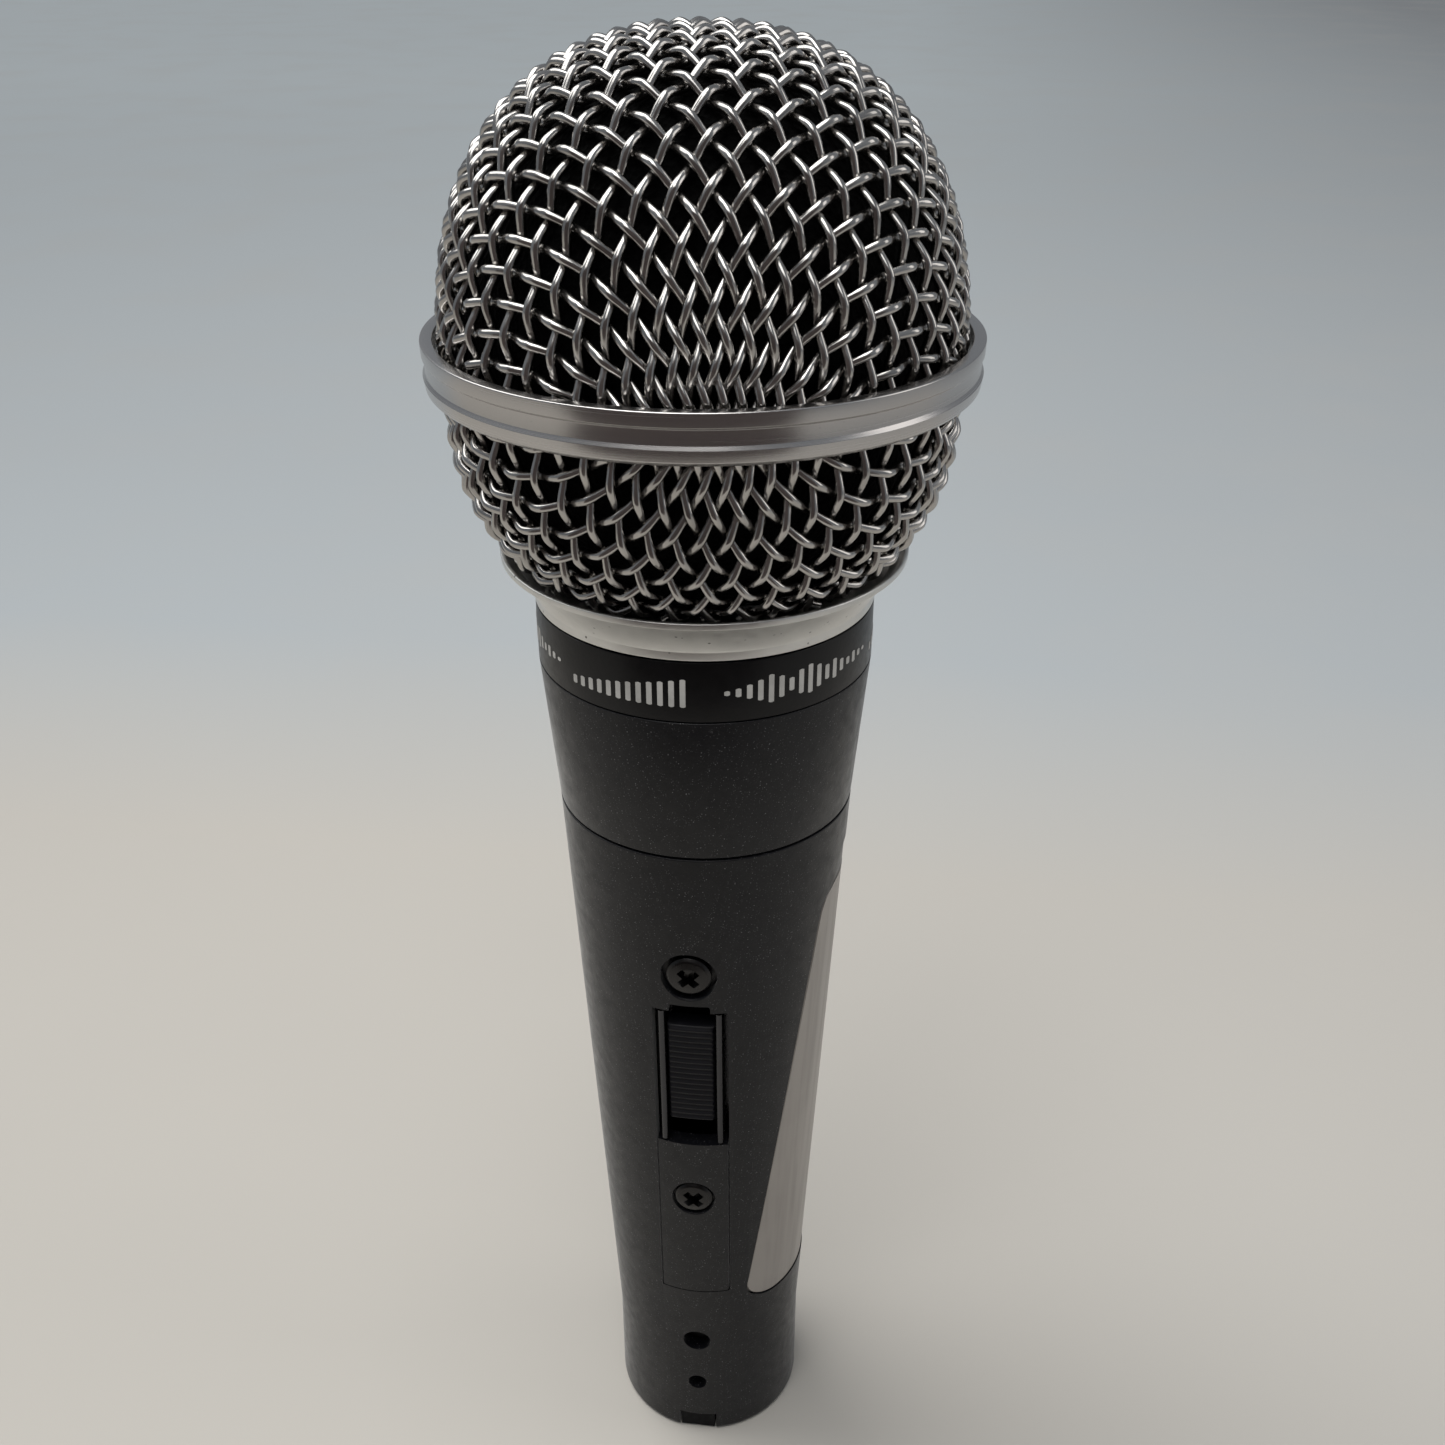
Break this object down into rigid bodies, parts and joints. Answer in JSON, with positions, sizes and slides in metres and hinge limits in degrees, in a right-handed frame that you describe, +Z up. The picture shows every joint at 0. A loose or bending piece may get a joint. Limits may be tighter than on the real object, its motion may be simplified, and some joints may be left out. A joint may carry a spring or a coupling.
{
  "type": "dynamic microphone",
  "caption": "Hand-held dynamic vocal microphone: woven-wire ball grille that unscrews, tapered metal handle with a slide switch, three-pole plug socket in the tail.",
  "frame": {"origin": "centre of the tail's rim, on the surface it stands on", "axes": "+Z up the microphone's axis towards the grille, the switch faces -Y, the blank label plate is on the +X side"},
  "size_m": [0.0534, 0.0534, 0.171],
  "materials": {
    "handle_paint": "fine metallic satin",
    "band_paint": "satin with a printed mark",
    "satin_nickel": "satin",
    "wire_nickel": "plated, semi-bright",
    "foam": "open-cell foam",
    "black_plastic": "matte moulded",
    "screw_black": "blackened",
    "label": "matte",
    "steel": "machined",
    "magnet": "plated",
    "rubber": "matte",
    "film": "thin film",
    "coil_wire": "enamelled",
    "brass": "contact finish",
    "board": "matte board",
    "lead_red": "insulated wire",
    "lead_white": "insulated wire",
    "lead_yellow": "insulated wire",
    "lead_black": "insulated wire"
  },
  "bodies": {
    "handle": {"handle": "handle_paint", "neck_section": "handle_paint", "name_band": "band_paint", "side_label": "label", "switch_plate": "handle_paint", "switch_frame": "screw_black", "switch_case": "black_plastic", "switch_terminal_1": "brass", "switch_terminal_2": "brass", "switch_terminal_3": "brass", "switch_screw": "screw_black", "plate_screw": "screw_black", "connector_insert": "black_plastic", "connector_pin_1": "brass", "connector_pin_2": "brass", "connector_pin_3": "brass", "connector_set_screw": "screw_black", "shock_mount": "rubber", "rear_chamber": "black_plastic", "capsule_housing": "black_plastic", "yoke": "steel", "magnet": "magnet", "pole_piece": "steel", "diaphragm_seat": "black_plastic", "capsule_front_cap": "black_plastic", "capsule_screen": "foam", "terminal_board": "board", "lead_capsule_hot": "lead_red", "lead_capsule_cold": "lead_white", "lead_switch_hot": "lead_yellow", "lead_ground": "lead_black"},
    "slider": {"switch_slider": "black_plastic", "switch_contact": "brass"},
    "windscreen": {"foam_windscreen": "foam"},
    "grille": {"grille_upper_mesh": "wire_nickel", "grille_ring": "satin_nickel", "grille_lower_mesh": "wire_nickel", "grille_collar": "satin_nickel"},
    "moving_coil": {"diaphragm": "film", "voice_coil": "coil_wire"}
  },
  "joints": [
    {"name": "switch_slide", "type": "slide", "parent": "handle", "child": "slider", "axis": [0, 0.0521, -0.9986], "range_m": [0, 0.0032]},
    {"name": "grille_rise", "type": "slide", "parent": "handle", "child": "windscreen", "axis": [0, 0, 1], "range_m": [0, 0.00451]},
    {"name": "grille_turn", "type": "hinge", "parent": "windscreen", "child": "grille", "pos_m": [0, 0, 0.12], "axis": [0, 0, 1], "range_deg": [0, 1620]},
    {"name": "diaphragm_travel", "type": "slide", "parent": "handle", "child": "moving_coil", "axis": [0, 0, 1], "range_m": [-0.0004, 0.0004], "stiffness_N_per_m": 300}
  ],
  "couplings": [
    {"joint": "grille_rise", "follows": "grille_turn", "m_per_rad": 0.00015915}
  ]
}
